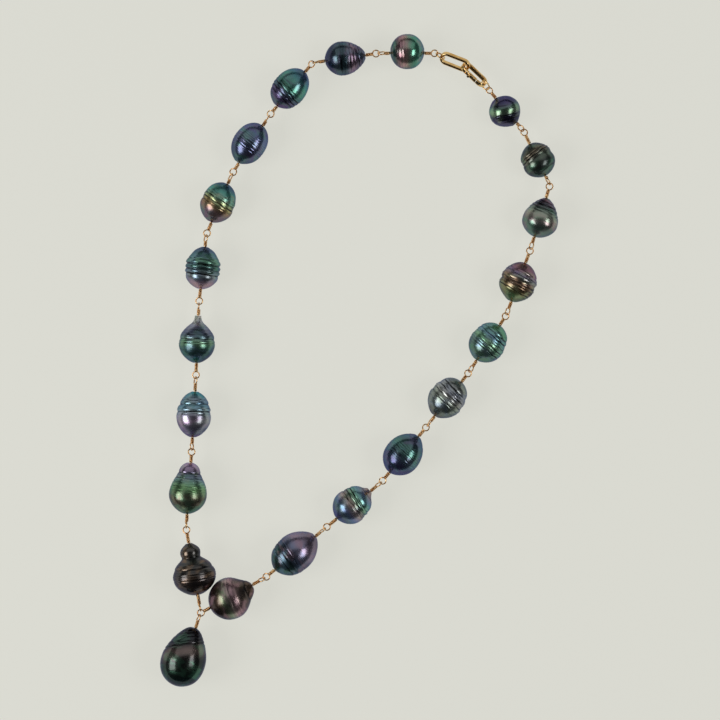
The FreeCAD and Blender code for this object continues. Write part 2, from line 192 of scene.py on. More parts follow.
@dataclass(frozen=True)
class NacreFinish:
    """Dark cultured nacre, polished only by its own growth.

    Its thin, clear layers over a deep body give a metallic depth, a second and sharper gloss on top, and
    colour that runs in rings along the growth axis. bands holds the body colours, evenly spaced from the
    first end to the last.
    """

    bands: str
    overtones: tuple[Overtone, Overtone]
    lustre: Lustre = Lustre.BRIGHT
    share: float = 0.4  # how much an overtone covers where it is strongest
    wander: float = 0.9  # how far the edge of a colour ring strays, mm
    film: float = 420.0  # thickness of the outermost layers, nm
    patch: float = 4.5  # size of the overtone patches, mm
    rim: str = "#7c88b4"        # tint of the sheen at a low angle
    layered: float = 0.88  # share of the light that the layers return like a metal
    coat: float = 0.34  # weight of the clear outer skin
    margin: float = 0.08  # share of the length past the first and the last colour
    stray_patch: float = 3.2  # size of the patches in which a ring's edge strays, mm
    loose_patch: float = 1.8  # size of the patches in which fine rings close up or spread, mm
    ring_fade: float = 0.05  # share of the length over which fine rings fade in and out
    ring_rest: float = 0.12  # how much of them is left past their zone
    ring_glint_and_shade: float = 0.2  # painted highlight and shade: how much lighter a fine ring's ridge is painted than the gap beside it
    groove_shade_tone: float = 0.75  # painted shade: how much darker the bottom of a groove is painted
    ring_bump: float = 0.9  # height of a fine ring against the peel
    peel: float = 0.5  # size of the skin's orange peel, mm
    skin_depth: float = 0.018  # depth of the skin's texture, mm

    def body_colour(self, tree: NodeTree, station: NodeSocket,
                    place: NodeSocket) -> NodeSocket:
        """Colour rings along the growth axis, with patches of the two overtones over them.

        Args:
            tree: The material's tree.
            station: Share of the pearl's length, with strayed edges.
            place: The shifted place on the skin, in mm.

        Returns:
            The colour's socket.
        """
        colours = self.bands.split()
        step = (1 - 2 * self.margin) / (len(colours) - 1)
        stops = [(self.margin + step * i, colour) for i, colour in enumerate(colours)]
        body = add_node(tree, "ShaderNodeValToRGB", inputs={"Fac": station}, stops=stops)
        body.color_ramp.interpolation = "B_SPLINE"
        colour = body.outputs["Color"]
        for number, overtone in enumerate(self.overtones):
            # patches are drawn out round the pearl, as the rings are
            there = add_node(tree, "ShaderNodeMapping", inputs={
                "Vector": place, "Location": (31.0 * number, 7.0, 3.0),
                "Scale": (1.6, 1.0, 1.0)}).outputs["Vector"]
            cloud = add_node(tree, "ShaderNodeTexNoise", inputs={
                "Vector": there, "Scale": 1 / self.patch, "Detail": 2.0, "Distortion": 0.8}).outputs["Fac"]
            mask = add_node(tree, "ShaderNodeMapRange", SMOOTH, {
                "Value": cloud, "From Min": 0.47, "From Max": 0.66, "To Max": self.share}).outputs["Result"]
            colour = add_node(tree, "ShaderNodeMix", {"data_type": "RGBA"}, {
                0: mask, 6: colour, 7: linear(overtone.value)}).outputs[2]
        return colour

    def growth_rings(self, tree: NodeTree, phase: NodeSocket,
                     station: NodeSocket, zone: tuple[float, float]) -> NodeSocket:
        """The finest growth rings: a sine of the phase, shown inside a zone.

        Args:
            tree: The material's tree.
            phase: The rings' phase in radians.
            station: Share of the pearl's length.
            zone: Shares of the length between which the rings show.

        Returns:
            The socket of a height from -1 to 1.
        """
        low, high = zone
        wave = add_node(tree, "ShaderNodeMath", {"operation": "SINE"}, {0: phase}).outputs[0]
        rise = add_node(tree, "ShaderNodeMapRange", SMOOTH, {
            "Value": station, "From Min": low - self.ring_fade,
            "From Max": low + self.ring_fade}).outputs["Result"]
        fall = add_node(tree, "ShaderNodeMapRange", SMOOTH, {
            "Value": station, "From Min": high - self.ring_fade, "From Max": high + self.ring_fade,
            "To Min": 1.0, "To Max": self.ring_rest}).outputs["Result"]
        shown = add_node(tree, "ShaderNodeMath", MULTIPLY, {0: rise, 1: fall}).outputs[0]
        return add_node(tree, "ShaderNodeMath", MULTIPLY, {0: wave, 1: shown}).outputs[0]

    def material(self, name: str, length: float, ring_pitch: float, ring_zone: tuple[float, float],
                 seed: int) -> Material:
        """Builds the finish for one pearl.

        Args:
            name: The material's name.
            length: The pearl's length in mm.
            ring_pitch: Spacing of the finest growth rings in mm.
            ring_zone: Shares of the length between which those rings show.
            seed: Shifts the patterns, so that no two pearls match.

        Returns:
            The new material.
        """
        made, tree = new_material(name)
        band = add_node(tree, "ShaderNodeAttribute", {"attribute_name": "band"}).outputs["Fac"]
        skin = add_node(tree, "ShaderNodeAttribute", {"attribute_name": "skin"}).outputs["Vector"]
        place = add_node(tree, "ShaderNodeMapping", inputs={
            "Vector": skin, "Location": (17.3 * seed, 5.1 * seed, 9.7 * seed)}).outputs["Vector"]
        stray = add_node(tree, "ShaderNodeTexNoise", inputs={
            "Vector": place, "Scale": 1 / self.stray_patch, "Detail": 3.0, "Roughness": 0.55}).outputs["Fac"]
        offset = add_node(tree, "ShaderNodeMath", MULTIPLY_ADD, {
            0: stray, 1: 2 * self.wander / length, 2: -self.wander / length}).outputs[0]
        station = add_node(tree, "ShaderNodeMath", {"operation": "ADD"}, {0: band, 1: offset}).outputs[0]
        colour = self.body_colour(tree, station, place)
        # growth rings lean as the band does, and noise of 1.4 turns loosens their spacing
        loosen = add_node(tree, "ShaderNodeTexNoise", inputs={
            "Vector": place, "Scale": 1 / self.loose_patch, "Detail": 2.0}).outputs["Fac"]
        turns = add_node(tree, "ShaderNodeMath", MULTIPLY, {
            0: band, 1: 2 * math.pi * length / ring_pitch}).outputs[0]
        phase = add_node(tree, "ShaderNodeMath", MULTIPLY_ADD, {
            0: loosen, 1: 9.0, 2: turns}).outputs[0]
        rings = self.growth_rings(tree, phase, station, ring_zone)
        # fine rings are painted lighter on their ridges and darker in their gaps: painted highlight and
        # painted shade
        bright = add_node(tree, "ShaderNodeMath", MULTIPLY_ADD, {
            0: rings, 1: self.ring_glint_and_shade, 2: 0.95}).outputs[0]
        # grooves get painted shade, darker the deeper they are
        painted_groove_shade = add_node(tree, "ShaderNodeAttribute", {"attribute_name": "painted_groove_shade"}).outputs["Fac"]
        shade = add_node(tree, "ShaderNodeMath", {"operation": "MULTIPLY_ADD", "use_clamp": True}, {
            0: painted_groove_shade, 1: -self.groove_shade_tone, 2: bright}).outputs[0]
        colour = add_node(tree, "ShaderNodeVectorMath", {"operation": "SCALE"}, {
            0: colour, "Scale": shade}).outputs[0]
        # the skin is a faint orange peel with the fine rings on it
        peel = add_node(tree, "ShaderNodeTexNoise", inputs={
            "Vector": place, "Scale": 1 / self.peel, "Detail": 2.0}).outputs["Fac"]
        height = add_node(tree, "ShaderNodeMath", MULTIPLY_ADD, {
            0: rings, 1: self.ring_bump, 2: peel}).outputs[0]
        normal = add_node(tree, "ShaderNodeBump", inputs={
            "Height": height, "Strength": 0.55, "Distance": self.skin_depth * MM}).outputs["Normal"]
        rough, clear = self.lustre.value
        gloss = add_node(tree, "ShaderNodeMapRange", inputs={
            "Value": stray, "From Min": 0.3, "From Max": 0.7, "To Min": rough * 0.85,
            "To Max": rough * 1.3}).outputs["Result"]
        # IOR 1.56 to 1.66 is aragonite's, and 1.53 that of the protein between its layers
        shader = add_node(tree, "ShaderNodeBsdfPrincipled", inputs={
            "Base Color": colour, "Metallic": self.layered, "Roughness": gloss, "IOR": 1.56,
            "Normal": normal, "Specular Tint": linear(self.rim), "Coat Weight": self.coat,
            "Coat Roughness": clear, "Coat IOR": 1.53, "Thin Film Thickness": self.film,
            "Thin Film IOR": 1.66})
        add_node(tree, "ShaderNodeOutputMaterial", inputs={"Surface": shader.outputs["BSDF"]})
        return made


@dataclass(frozen=True)
class MetalFinish:
    """A worked metal: hue drifts with handling, and fine rubbing marks break up its gloss."""

    name: str
    base: str  # colour of the metal where it is clean
    deep: str  # colour where handling has dulled it
    roughness: float
    drift: float  # size of the tone patches, mm
    rub: float  # spacing of the rubbing marks, mm
    rub_depth: float  # mm

    def material(self) -> Material:
        """Builds the finish as a material."""
        made, tree = new_material(self.name)
        place = add_node(tree, "ShaderNodeTexCoord").outputs["Object"]
        tone = add_node(tree, "ShaderNodeTexNoise", inputs={
            "Vector": place, "Scale": 1 / (self.drift * MM), "Detail": 3.0}).outputs["Fac"]
        colour = add_node(tree, "ShaderNodeValToRGB", inputs={"Fac": tone},
                          stops=[(0.36, self.deep), (0.62, self.base)]).outputs["Color"]
        # rubbing marks are drawn three times as long as they are wide
        grain = add_node(tree, "ShaderNodeMapping", inputs={
            "Vector": place, "Scale": (1.0, 0.33, 1.0)}).outputs["Vector"]
        marks = add_node(tree, "ShaderNodeTexNoise", inputs={
            "Vector": grain, "Scale": 1 / (self.rub * MM), "Detail": 2.0}).outputs["Fac"]
        rough = add_node(tree, "ShaderNodeMapRange", inputs={
            "Value": marks, "From Min": 0.35, "From Max": 0.7, "To Min": self.roughness * 0.75,
            "To Max": self.roughness * 1.5}).outputs["Result"]
        normal = add_node(tree, "ShaderNodeBump", inputs={
            "Height": marks, "Strength": 0.5, "Distance": self.rub_depth * MM}).outputs["Normal"]
        shader = add_node(tree, "ShaderNodeBsdfPrincipled", inputs={
            "Base Color": colour, "Metallic": 1.0, "Roughness": rough, "Normal": normal})
        add_node(tree, "ShaderNodeOutputMaterial", inputs={"Surface": shader.outputs["BSDF"]})
        return made


# 14-carat gold-filled wire, drawn and wrapped by hand: warm, a little dull where the pliers held it
GOLD_WIRE = MetalFinish("gold_filled_wire_drawn", "#e6c08c", "#b98452", 0.2, 1.2, 0.12, 0.006)
# cast gold alloy, tumbled and buffed: bright, pale, with soft hairlines
GOLD_CLASP = MetalFinish("gold_alloy_cast_buffed", "#ecc98e", "#d0a566", 0.13, 2.2, 0.2, 0.005)
# hard-drawn spring steel: grey, finely lined along the draw
SPRING_STEEL = MetalFinish("spring_steel_hard_drawn", "#9b9c9c", "#707274", 0.3, 0.6, 0.05, 0.003)


@dataclass(frozen=True)
class Growth:
    """Relief that a pearl grew with.

    grooves are (station in per cent, depth in mm, width in mm). lean is how far the rings tilt from square
    to the axis, in degrees, seen from above. fine is (from per cent, to per cent, pitch in mm, depth in mm).
    swell is the height of the broad swellings in mm.
    """

    grooves: tuple[tuple[float, float, float], ...]
    lean: float
    fine: tuple[float, float, float, float]
    swell: float = 0.06


PEACOCK, TEAL, STEEL_BLUE, AUBERGINE, ROSE, BRONZE, PISTACHIO, CHARCOAL, SILVER = Overtone
MIRROR, BRIGHT = Lustre

# a pearl's finish and growth, from the clasp down each side
PEARLS: dict[str, tuple[NacreFinish, Growth]] = {
    "left_01": (
        NacreFinish("6c8a96 5c9c88 5ea88e 74a08c a68e84 c0949a 5a4248 3e6a60",
                    (PEACOCK, ROSE), MIRROR, 0.4),
        Growth(((68, 0.05, 0.5), (80, 0.04, 0.4)), -4, (55, 84, 0.9, 0.012))),
    "left_02": (
        NacreFinish("6a6074 4c4a5c a8889c 4c666e 2c3440 5a7278 2a2f42 404862",
                    (AUBERGINE, TEAL), BRIGHT, 0.3),
        Growth(((9, 0.08, 0.4), (16, 0.09, 0.4), (26, 0.08, 0.4), (36, 0.07, 0.5),
                (58, 0.05, 0.6)), 4, (8, 66, 0.95, 0.022))),
    "left_03": (
        NacreFinish("5a7094 4a8890 5ca48e 568e84 4a7a72 5c5c7e 5a5474 5e4a70",
                    (PEACOCK, AUBERGINE), BRIGHT, 0.36),
        Growth(((52, 0.06, 0.35), (60, 0.11, 0.4), (69, 0.12, 0.4),
                (78, 0.10, 0.4)), 10, (40, 90, 0.75, 0.022))),
    "left_04": (
        NacreFinish("5c5c84 626e98 6a7c9e 728494 60688c 5a5e7c 4e5878 50646e",
                    (AUBERGINE, PEACOCK), MIRROR, 0.4),
        Growth(((46, 0.05, 0.35), (54, 0.07, 0.35), (62, 0.07, 0.35)), 8, (30, 74, 0.7, 0.026))),
    "left_05": (
        NacreFinish("46667a 5ca290 6ab0ac a6bc86 b49a62 8c7070 76687c 7a6472",
                    (PEACOCK, BRONZE), BRIGHT, 0.4),
        Growth(((40, 0.07, 0.35), (50, 0.12, 0.4), (59, 0.08, 0.35)), 12, (28, 66, 0.9, 0.016))),
    "left_06": (
        NacreFinish("4c5a74 5c8488 7aa890 587c74 4c6a70 9caaa8 86809a c09aa0",
                    (PEACOCK, STEEL_BLUE), BRIGHT, 0.4),
        Growth(((30, 0.10, 0.4), (43, 0.18, 0.45), (55, 0.18, 0.45),
                (66, 0.15, 0.45)), 2, (22, 72, 1.1, 0.022))),
    "left_07": (
        NacreFinish("d6d2cc 9a98a6 686c82 5c6a80 8ab48c 466866 3e5c5a 34505a",
                    (PEACOCK, STEEL_BLUE), BRIGHT, 0.34),
        Growth(((16, 0.10, 0.5), (40, 0.06, 0.4), (50, 0.13, 0.4),
                (58, 0.09, 0.35)), 0, (24, 60, 0.9, 0.02))),
    "left_08": (
        NacreFinish("3e929e 7c86a0 5e94aa 8ea6b0 b2a8c0 b09cae 86709a 6c5680",
                    (PEACOCK, SILVER), BRIGHT, 0.3),
        Growth(((18, 0.08, 0.4), (28, 0.16, 0.45), (36, 0.06, 0.3),
                (44, 0.15, 0.4)), -3, (12, 50, 0.9, 0.024))),
    "left_09": (
        NacreFinish("b29aba 4c4c60 7e92aa 82b676 5c7a5c 6e6456 5e5448 4e6a58",
                    (PISTACHIO, PEACOCK), BRIGHT, 0.36),
        Growth(((20, 0.16, 0.5), (30, 0.08, 0.35), (38, 0.07, 0.35),
                (47, 0.06, 0.3)), 3, (20, 56, 0.8, 0.02))),
    "left_10": (
        NacreFinish("5c5854 4c4a48 464644 4e4c4a 4c4a48 5c5250 423a38 34302e",
                    (CHARCOAL, BRONZE), BRIGHT, 0.4),
        Growth(((27, 0.10, 0.6), (48, 0.10, 0.4), (58, 0.06, 0.35),
                (68, 0.06, 0.35)), 3, (34, 74, 0.85, 0.03), 0.05)),
    "right_01": (
        NacreFinish("46426a 50506c 82b08e 94b48a 36364e 322e44 403a5a 5a5670",
                    (AUBERGINE, PISTACHIO), MIRROR, 0.26, 0.35),
        Growth(((20, 0.06, 0.35), (56, 0.06, 0.4), (70, 0.06, 0.35),
                (82, 0.06, 0.35)), 34, (54, 96, 0.62, 0.03))),
    "right_02": (
        NacreFinish("525c58 6a7264 8e7c64 5a6058 6e7c6c 464a48 424a46 5e6e66",
                    (PEACOCK, CHARCOAL), BRIGHT, 0.34),
        Growth(((30, 0.11, 0.4), (39, 0.14, 0.4), (88, 0.05, 0.4)), -14, (22, 50, 0.9, 0.02))),
    "right_03": (
        NacreFinish("64586a 54525e 6e8276 a8b0a0 a49a92 6e7a74 62726a 70807c",
                    (ROSE, PEACOCK), BRIGHT, 0.34),
        Growth(((10, 0.10, 0.4), (19, 0.12, 0.45), (28, 0.10, 0.4),
                (36, 0.07, 0.4)), 8, (4, 42, 0.8, 0.03))),
    "right_04": (
        NacreFinish("7c5c6c a0707e 66729a 9c7c5c 54443e 807050 74885c 5a6e56",
                    (BRONZE, PISTACHIO), BRIGHT, 0.32, 0.6),
        Growth(((22, 0.08, 0.4), (30, 0.12, 0.4), (50, 0.17, 0.45), (58, 0.08, 0.3),
                (71, 0.09, 0.35)), 12, (18, 74, 1.0, 0.02))),
    "right_05": (
        NacreFinish("6ea486 78b08e 6a90b4 8eb88e 7ca48a 62727c 5e7c68 6a8a74",
                    (PEACOCK, STEEL_BLUE), BRIGHT, 0.42),
        Growth(((20, 0.09, 0.4), (30, 0.13, 0.4), (41, 0.12, 0.4), (52, 0.10, 0.4),
                (64, 0.08, 0.35)), 10, (14, 72, 0.95, 0.024))),
    "right_06": (
        NacreFinish("88928a 9a9e9e 8c92a0 aeaca4 8c9c8e 5c6462 7c887e 6e6e68",
                    (STEEL_BLUE, SILVER), BRIGHT, 0.3),
        Growth(((22, 0.09, 0.4), (34, 0.11, 0.4), (47, 0.14, 0.4),
                (58, 0.13, 0.4)), 10, (14, 72, 0.95, 0.024))),
    "right_07": (
        NacreFinish("505a7c 567078 56867c 5a8478 62808e 46466a 4a4c70 50527a",
                    (TEAL, AUBERGINE), MIRROR, 0.4),
        Growth(((10, 0.06, 0.5), (44, 0.04, 0.35), (54, 0.05, 0.35)), 6, (26, 68, 0.62, 0.03))),
    "right_08": (
        NacreFinish("a4908a 5488b0 90c4a0 5c5456 c8b2a4 5470b0 6c8074 4e5288",
                    (PEACOCK, STEEL_BLUE), BRIGHT, 0.3, 0.5),
        Growth(((10, 0.07, 0.4), (33, 0.12, 0.4), (42, 0.14, 0.4),
                (50, 0.12, 0.4)), 4, (22, 60, 0.9, 0.02))),
    "right_09": (
        NacreFinish("7c7080 8a7c92 9c8aa0 7c8098 42485a 3a5456 44645a 466a66",
                    (STEEL_BLUE, ROSE), BRIGHT, 0.32),
        Growth(((56, 0.08, 0.4), (66, 0.14, 0.45), (76, 0.08, 0.4)), 4, (50, 84, 0.95, 0.026))),
    "right_10": (
        NacreFinish("5e4c3e 5c5048 70625c c096a2 84a07e 665648 40342c 5a4840",
                    (CHARCOAL, ROSE), BRIGHT, 0.42, 0.6),
        Growth(((13, 0.10, 0.5), (34, 0.06, 0.4), (46, 0.05, 0.4)), 10, (28, 56, 1.1, 0.014))),
    "drop": (
        NacreFinish("3a3a40 36363c 2e2e32 8c7a74 3e3e3e 2e3430 38463c 243432",
                    (PEACOCK, CHARCOAL), MIRROR, 0.3, 0.35),
        Growth(((10, 0.08, 0.4), (17, 0.08, 0.4), (24, 0.09, 0.4),
                (31, 0.16, 0.5)), -30, (4, 30, 0.8, 0.035))),
}

# start roll and end roll of the eyes, in degrees about the link's axis
EYE_ROLLS: dict[str, tuple[float, float | None]] = {
    "left_01": (-25, 60), "left_02": (-5, 75), "left_03": (-35, 0), "left_04": (85, 5), "left_05": (65, -5),
    "left_06": (60, 0), "left_07": (85, 5), "left_08": (65, 60), "left_09": (-5, 80), "left_10": (0, 80),
    "right_01": (-25, 55), "right_02": (-12, 80), "right_03": (8, 60), "right_04": (-2, 58),
    "right_05": (-8, 60), "right_06": (-3, 80), "right_07": (15, 0), "right_08": (70, 0),
    "right_09": (78, 0), "right_10": (68, -5), "drop": (70, None),
}


@dataclass
class Link:
    """Where one link of the strand lies: its body, its CAD nodes and the line between its hinge points."""

    name: str
    body: str
    pearl_node: str
    wire_node: str
    start: Vector
    end: Vector

    def frame(self) -> Matrix:
        """Takes link coordinates, with X along the link and Y level, to the row frame."""
        run = self.end - self.start
        heading = Matrix.Rotation(math.atan2(run.y, run.x), 4, "Z")
        climb = Matrix.Rotation(-math.atan2(run.z, math.hypot(run.x, run.y)), 4, "Y")
        return Matrix.Translation(self.start) @ heading @ climb

    def span(self) -> float:
        """Distance between the two hinge points in mm."""
        return (self.end - self.start).length / MM


@dataclass
class Strand:
    """The order of the links, and the hinge points they share."""

    joints: list[dict]
    per_side: int = 10
    meeting: tuple[float, float, float] = (-50.5, -80.05, 6.7)  # last eye of the right side, mm
    drop_tip: tuple[float, float, float] = (-57.5, -102.9, 7.0)  # far end of the drop's drilled line, mm

    def place(self, joint: str) -> Vector:
        """A joint's point in the row frame, in metres."""
        return Vector(next(j["pos_m"] for j in self.joints if j["name"] == joint))

    def links(self) -> list[Link]:
        """Every link from the clasp to the point of the V, and the drop.

        Returns:
            The links, each with its two hinge points.
        """
        found = []
        for side, first in (("left", "receiver_jump_ring_swing"), ("right", "gate_jump_ring_swing")):
            start = self.place(first)
            for number in range(1, self.per_side + 1):
                name = "%s_%02d" % (side, number)
                if side == "right" and number == self.per_side:
                    end = Vector(self.meeting) * MM
                else:
                    end = self.place("%s_link_%02d_swing" % (side, number))
                found.append(Link(name, name.replace("_", "_link_"), name.replace("_", "_pearl_"),
                                  name.replace("_", "_wire_"), start, end))
                start = end
        found.append(Link("drop", "drop_link", "drop_pearl", "drop_wire", self.place("drop_swing"),
                          Vector(self.drop_tip) * MM))
        return found


@dataclass
class PearlWork:
    """Builds and dresses the baroque pearls, each from the outline of its CAD solid."""

    around: int = 96  # faces round a pearl
    along: int = 210  # faces from end to end
    drill: float = 0.30  # radius of the drilled hole, mm
    mouth: float = 1.0  # radius of the ground flat round the hole, mm
    drop_depth: float = 5.4  # depth of the drop's blind hole, mm
    relief_share: float = 0.72  # share of the drawn groove depth that the surface takes
    trim: float = 0.02  # what is left out at each end when the outline is read, mm
    outline_bins: int = 56  # points that an outline is read at
    lip_height: float = 0.35  # height of the lips beside a groove against its depth
    lip_offset: float = 1.7  # how far they stand from it, against its slope
    ring_fade: float = 0.5  # how far fine rings fade in and out, mm
    swells: int = 9  # broad swellings on a pearl
    swell_sizes: tuple[float, float] = (4.5, 11.0)  # shortest and longest, mm
    groove_shade_from: float = 0.03  # depth at which a groove's painted shade starts, mm
    groove_shade_run: float = 0.09  # further depth at which its painted shade is darkest, mm
    skin_from: float = 0.1  # where relief starts outside the mouth, mm
    skin_full: float = 1.6  # where it is full, mm

    def outline(self, points: np.ndarray) -> tuple[np.ndarray, np.ndarray]:
        """Reads a pearl's own axis and outline.

        Args:
            points: The CAD pearl's vertices in link coordinates, in mm.

        Returns:
            The axis' (y, z), and rows of (x, radius) from one end to the other.
        """
        shell = points[np.hypot(points[:, 1], points[:, 2]) > self.drill + 0.03]
        middle = (shell[:, 1:].min(0) + shell[:, 1:].max(0)) / 2
        radius = np.hypot(shell[:, 1] - middle[0], shell[:, 2] - middle[1])
        low, high = shell[:, 0].min(), shell[:, 0].max()
        skin = (shell[:, 0] > low + self.trim) & (shell[:, 0] < high - self.trim)
        x, r = shell[skin, 0], radius[skin]
        turn = np.arctan2(r, (low + high) / 2 - x)
        bins = np.floor(turn / math.pi * self.outline_bins).astype(int)
        rows = [(x[bins == b].mean(), r[bins == b].mean()) for b in np.unique(bins)]
        return middle, np.array([(low, self.mouth)] + rows + [(high, self.mouth)])

    def profile(self, rows: np.ndarray, count: int) -> np.ndarray:
        """Rounds an outline into evenly spaced stations.

        Args:
            rows: Rows of (x, radius).
            count: How many stations to return.

        Returns:
            Rows of (x, radius) on a smooth curve through the outline.
        """
        steps = np.hypot(*np.diff(rows, axis=0).T)
        reach = np.concatenate([[0], np.cumsum(steps)])
        slopes = np.gradient(rows, reach, axis=0)
        at = np.linspace(0, reach[-1], count)
        cell = np.clip(np.searchsorted(reach, at, side="right") - 1, 0, len(rows) - 2)
        gap = (reach[cell + 1] - reach[cell])[:, None]
        t = (at - reach[cell])[:, None] / gap
        return ((2 * t**3 - 3 * t**2 + 1) * rows[cell] + (t**3 - 2 * t**2 + t) * gap * slopes[cell]
                + (3 * t**2 - 2 * t**3) * rows[cell + 1] + (t**3 - t**2) * gap * slopes[cell + 1])

    def relief(self, growth: Growth, ring: np.ndarray, low: float, length: float, place: np.ndarray,
               seed: int) -> np.ndarray:
        """How far the skin stands proud of its outline.

        Args:
            growth: The pearl's relief.
            ring: The station of each point along the leaning growth axis, in mm.
            low: Where the pearl starts, in mm.
            length: The pearl's length in mm.
            place: Each point's place in mm.
            seed: Sets the swellings.

        Returns:
            A height in mm for each point.
        """
        height = np.zeros(ring.shape)
        for station, depth, width in growth.grooves:
            off = (ring - low - length * station / 100) / (width * 0.6)
            lips = self.lip_height * np.exp(-((np.abs(off) - self.lip_offset) ** 2))
            height += depth * (lips - np.exp(-(off ** 2)))
        first, last, pitch, depth = growth.fine
        start, stop = low + length * first / 100, low + length * last / 100
        zone = smoothstep(ring, start - self.ring_fade, start + self.ring_fade)
        zone *= 1 - smoothstep(ring, stop - self.ring_fade, stop + self.ring_fade)
        # fine rings are round ridges with sharp gaps, unevenly spaced and stronger in patches
        loose = ring + 0.22 * np.sin(ring * 1.9 + seed)
        loose += 0.10 * np.sin(place @ np.array([0.3, 0.9, 0.7]) + seed)
        cusp = np.abs(np.sin(math.pi * loose / pitch)) ** 0.55
        patchy = 0.55 + 0.45 * np.sin(place @ np.array([0.5, 0.75, -0.4]) + 1.9 * seed)
        height += depth * zone * patchy * (cusp - 0.8) * 2
        dice = random.Random(seed)
        swell = np.zeros(ring.shape)
        for _ in range(self.swells):
            aim = np.array([dice.gauss(0, 1) for _ in range(3)])
            aim *= 2 * math.pi / (dice.uniform(*self.swell_sizes) * np.linalg.norm(aim))
            swell += np.sin(place @ aim + dice.uniform(0, 6.28)) / 3
        return height + growth.swell * np.clip(swell, -1.2, 1.2)

    def section(self, rows: np.ndarray, blind: bool) -> tuple[np.ndarray, int]:
        """A pearl's whole half section, from inside its hole, over the skin and into the hole again.

        Args:
            rows: The outline, as rows of (x, radius).
            blind: Whether the hole stops inside, and the far end is closed.

        Returns:
            Rows of (x, radius), and how many of them come before the skin.
        """
        low, high = rows[0, 0], rows[-1, 0]
        # (depth below the end, radius) from inside the hole, over its softened edge, to the ground flat
        edge = ((0.30, self.drill), (0.07, self.drill + 0.05), (0.0, self.drill + 0.2),
                (0.0, self.mouth * 0.8))
        lip = [(low + inset, radius) for inset, radius in edge]
        end = [(high - inset, radius) for inset, radius in reversed(edge)]
        if blind:
            lip.insert(0, (low + self.drop_depth, self.drill))
            end = [(high + 0.02, self.mouth * 0.8), (high + 0.05, self.mouth * 0.5), (high + 0.06, 0.2)]
        return np.vstack([lip, self.profile(rows, self.along), end]), len(lip)

    def faces(self, count: int, blind: bool) -> list[tuple[int, ...]]:
        """The faces over rings of points.

        Args:
            count: How many rings there are.
            blind: Whether the first and last ring get a flat end each, or join.

        Returns:
            The point numbers of each face.
        """
        index = np.arange(count * self.around).reshape(count, self.around)
        following = index if blind else np.vstack([index, index[:1]])
        a, b = following[:-1], following[1:]
        quads = np.stack([a, np.roll(a, -1, 1), np.roll(b, -1, 1), b], axis=-1).reshape(-1, 4)
        found = [tuple(q) for q in quads.tolist()]
        if blind:
            found += [tuple(index[0, ::-1].tolist()), tuple(index[-1].tolist())]
        return found

    def mesh(self, link: Link, node: Object, seed: int) -> tuple[Mesh, float]:
        """Builds one pearl's closed mesh.

        Args:
            link: Where the pearl's link lies.
            node: The CAD pearl.
            seed: Sets the pearl's small irregularities.

        Returns:
            The mesh in the row frame, with its pattern attributes, and the pearl's length in mm.
        """
        growth = PEARLS[link.name][1]
        frame = link.frame()
        middle, rows = self.outline(moved(frame.inverted(), node_points(node)) / MM)
        low, length = rows[0, 0], rows[-1, 0] - rows[0, 0]
        blind = link.name == "drop"
        path, before = self.section(rows, blind)
        x, r = path[:, 0][:, None], path[:, 1][:, None]
        turn = np.linspace(0, 2 * math.pi, self.around, endpoint=False)[None, :]
        # the hole keeps to the link's axis, and the skin to the pearl's own
        own = smoothstep(r, self.drill, self.mouth)
        if blind:
            tail = np.arange(len(path))[:, None] > before
            own = np.where(tail & (r < self.mouth), 1.0, own)
        unit_y, unit_z = np.cos(turn), np.sin(turn)
        y, z = own * middle[0] + r * unit_y, own * middle[1] + r * unit_z
        lean = math.tan(math.radians(growth.lean))
        ring = x - lean * (y - middle[0]) * 0.8 - lean * 0.45 * (z - middle[1])
        place = np.stack([x + 0 * y, y, z], axis=-1)
        height = self.relief(growth, ring, low, length, place, seed)
        fade = smoothstep(r, self.mouth + self.skin_from, self.mouth + self.skin_full)
        # painted shade where the relief dips, darker where it dips deeper
        painted_groove_shade = np.clip((-height - self.groove_shade_from) / self.groove_shade_run, 0, 1) * fade
        raised = height * fade * self.relief_share
        y, z = y + raised * unit_y, z + raised * unit_z
        place = np.stack([x + 0 * y, y, z], axis=-1)
        points = moved(frame, place.reshape(-1, 3) * MM)
        made = bpy.data.meshes.new(link.pearl_node + "_skin")
        made.from_pydata(points.tolist(), [], self.faces(len(path), blind))
        for name, kind, key, values in (("band", "FLOAT", "value", (ring - low) / length),
                                        ("painted_groove_shade", "FLOAT", "value", painted_groove_shade),
                                        ("skin", "FLOAT_VECTOR", "vector", place)):
            layer = made.attributes.new(name, kind, "POINT")
            layer.data.foreach_set(key, values.astype(np.float32).ravel())
        made.update()
        made.shade_smooth()
        return made, length

    def build(self, link: Link, node: Object, seed: int) -> Object:
        """Makes one finished pearl.

        Args:
            link: Where the pearl's link lies.
            node: The CAD pearl.
            seed: Sets its small irregularities.

        Returns:
            The dressed piece, riding on its link.
        """
        mesh, length = self.mesh(link, node, seed)
        shape = bmesh.new()
        shape.from_mesh(mesh)
        bmesh.ops.recalc_face_normals(shape, faces=shape.faces)
        if shape.calc_volume(signed=True) < 0:
            bmesh.ops.reverse_faces(shape, faces=shape.faces)
        shape.to_mesh(mesh)
        shape.free()
        piece = new_piece(link.pearl_node + "_nacre", mesh)
        finish, growth = PEARLS[link.name]
        first, last, pitch, _ = growth.fine
        mesh.materials.append(finish.material(link.name + "_nacre_dark_baroque", length, pitch,
                                              (first / 100, last / 100), seed))
        return settle(piece, link.body, link.pearl_node)


